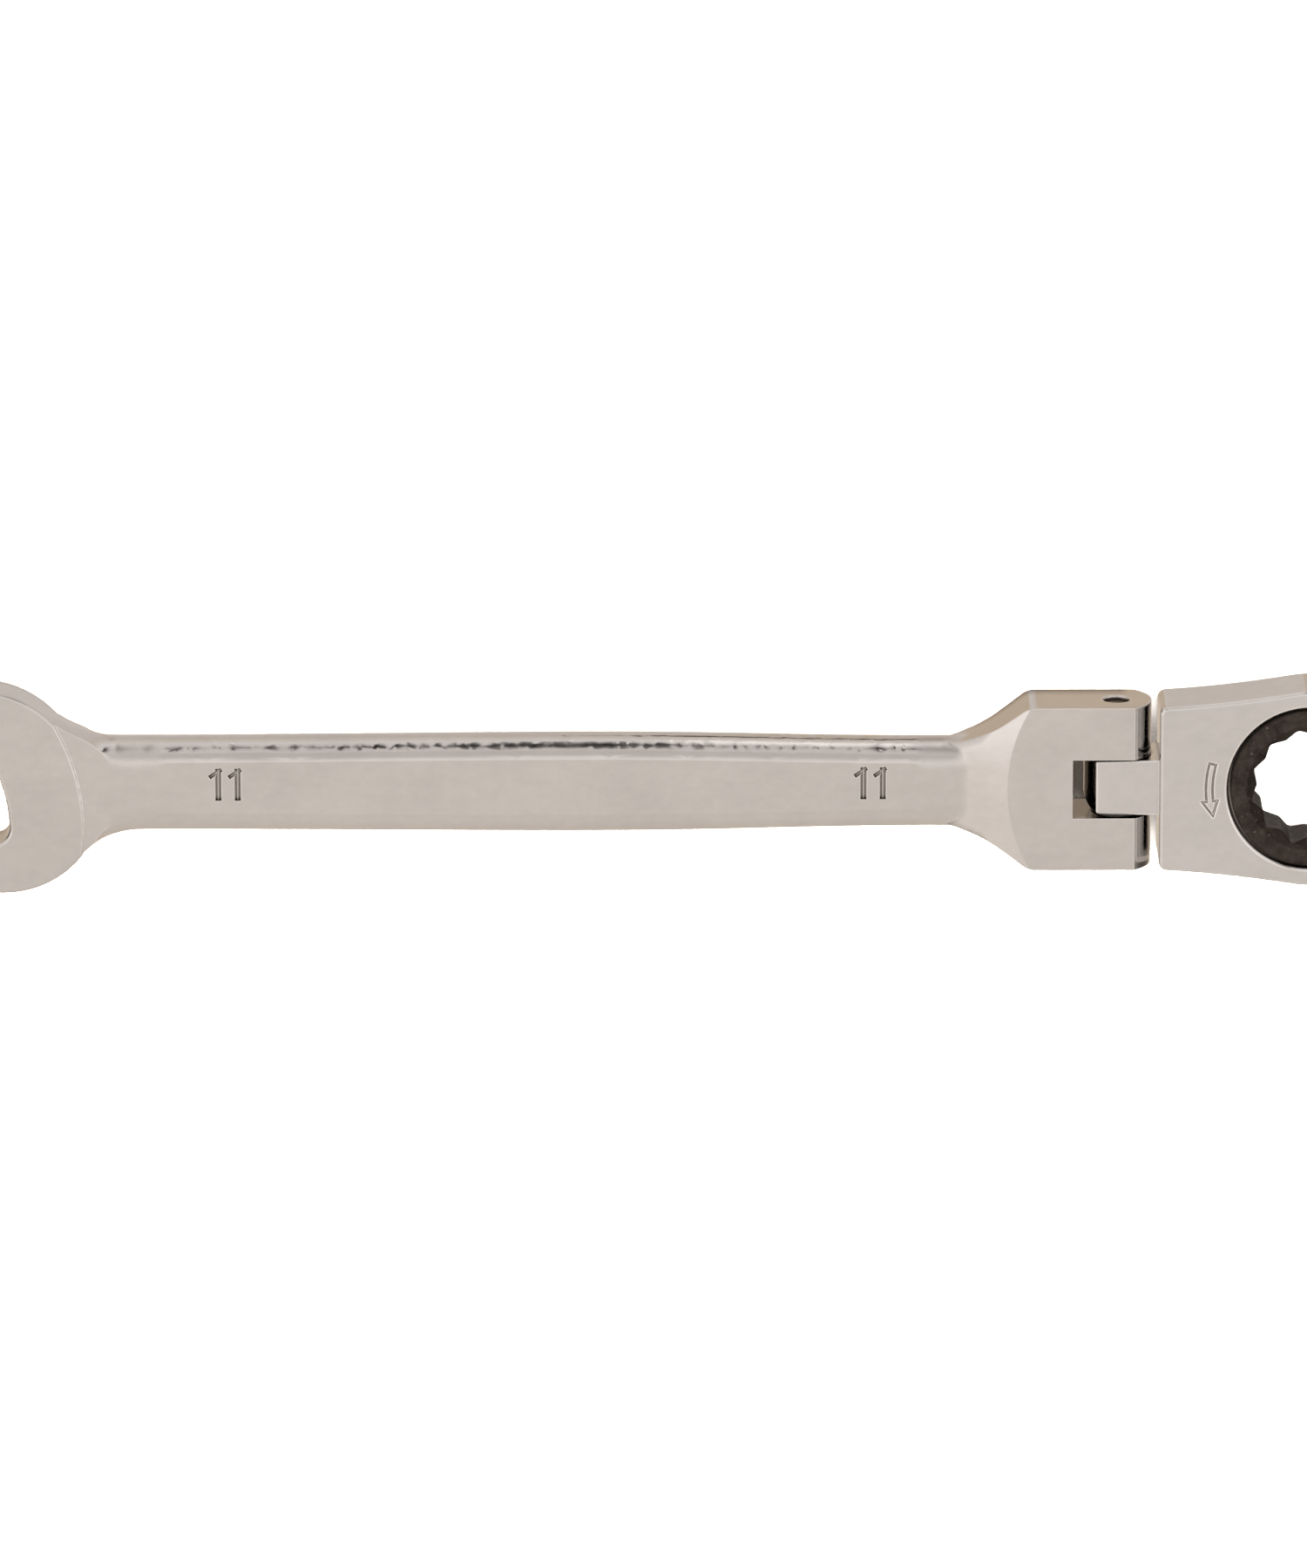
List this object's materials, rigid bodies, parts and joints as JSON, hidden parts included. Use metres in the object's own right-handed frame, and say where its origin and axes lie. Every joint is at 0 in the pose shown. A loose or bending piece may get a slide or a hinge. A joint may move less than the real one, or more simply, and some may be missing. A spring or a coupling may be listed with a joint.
{
  "type": "ratchet wrench",
  "caption": "Combination wrench with a fixed open jaw at one end and, at the other, a tilting ring head whose socket turns in a fine-toothed ratchet.",
  "frame": {"origin": "centre of the ring head's socket, on its axis and at mid thickness", "axes": "+X along the wrench from the open jaw to the ring, +Z along the socket's axis, out of the marked face"},
  "size_m": [0.1661, 0.0229, 0.0078],
  "materials": {
    "satin_chrome": "satin chrome plate over forged steel",
    "pin_steel": "turned steel",
    "black_oxide": "black oxide, satin",
    "hardened_steel": "dark hardened steel",
    "spring_steel": "oiled spring steel"
  },
  "bodies": {
    "handle": {"handle": "satin_chrome", "pivot_pin": "pin_steel", "disc_spring": "spring_steel"},
    "head": {"ratchet_head": "satin_chrome", "snap_ring": "spring_steel", "pawl_spring": "spring_steel"},
    "gear": {"ratchet_gear": "black_oxide"},
    "pawl": {"pawl": "hardened_steel"}
  },
  "joints": [
    {"name": "head_tilt", "type": "hinge", "parent": "handle", "child": "head", "pos_m": [-0.021, 0, 0], "axis": [0, 1, 0], "range_deg": [-90, 90]},
    {"name": "ratchet_spin", "type": "hinge", "parent": "head", "child": "gear", "pos_m": [0, 0, 0], "axis": [0, 0, 1], "continuous": true},
    {"name": "pawl_slide", "type": "slide", "parent": "head", "child": "pawl", "axis": [-1, 0, 0], "range_m": [0, 0.00055], "stiffness_N_per_m": 600, "springref_m": -0.002, "deforming": ["pawl_spring"]}
  ]
}
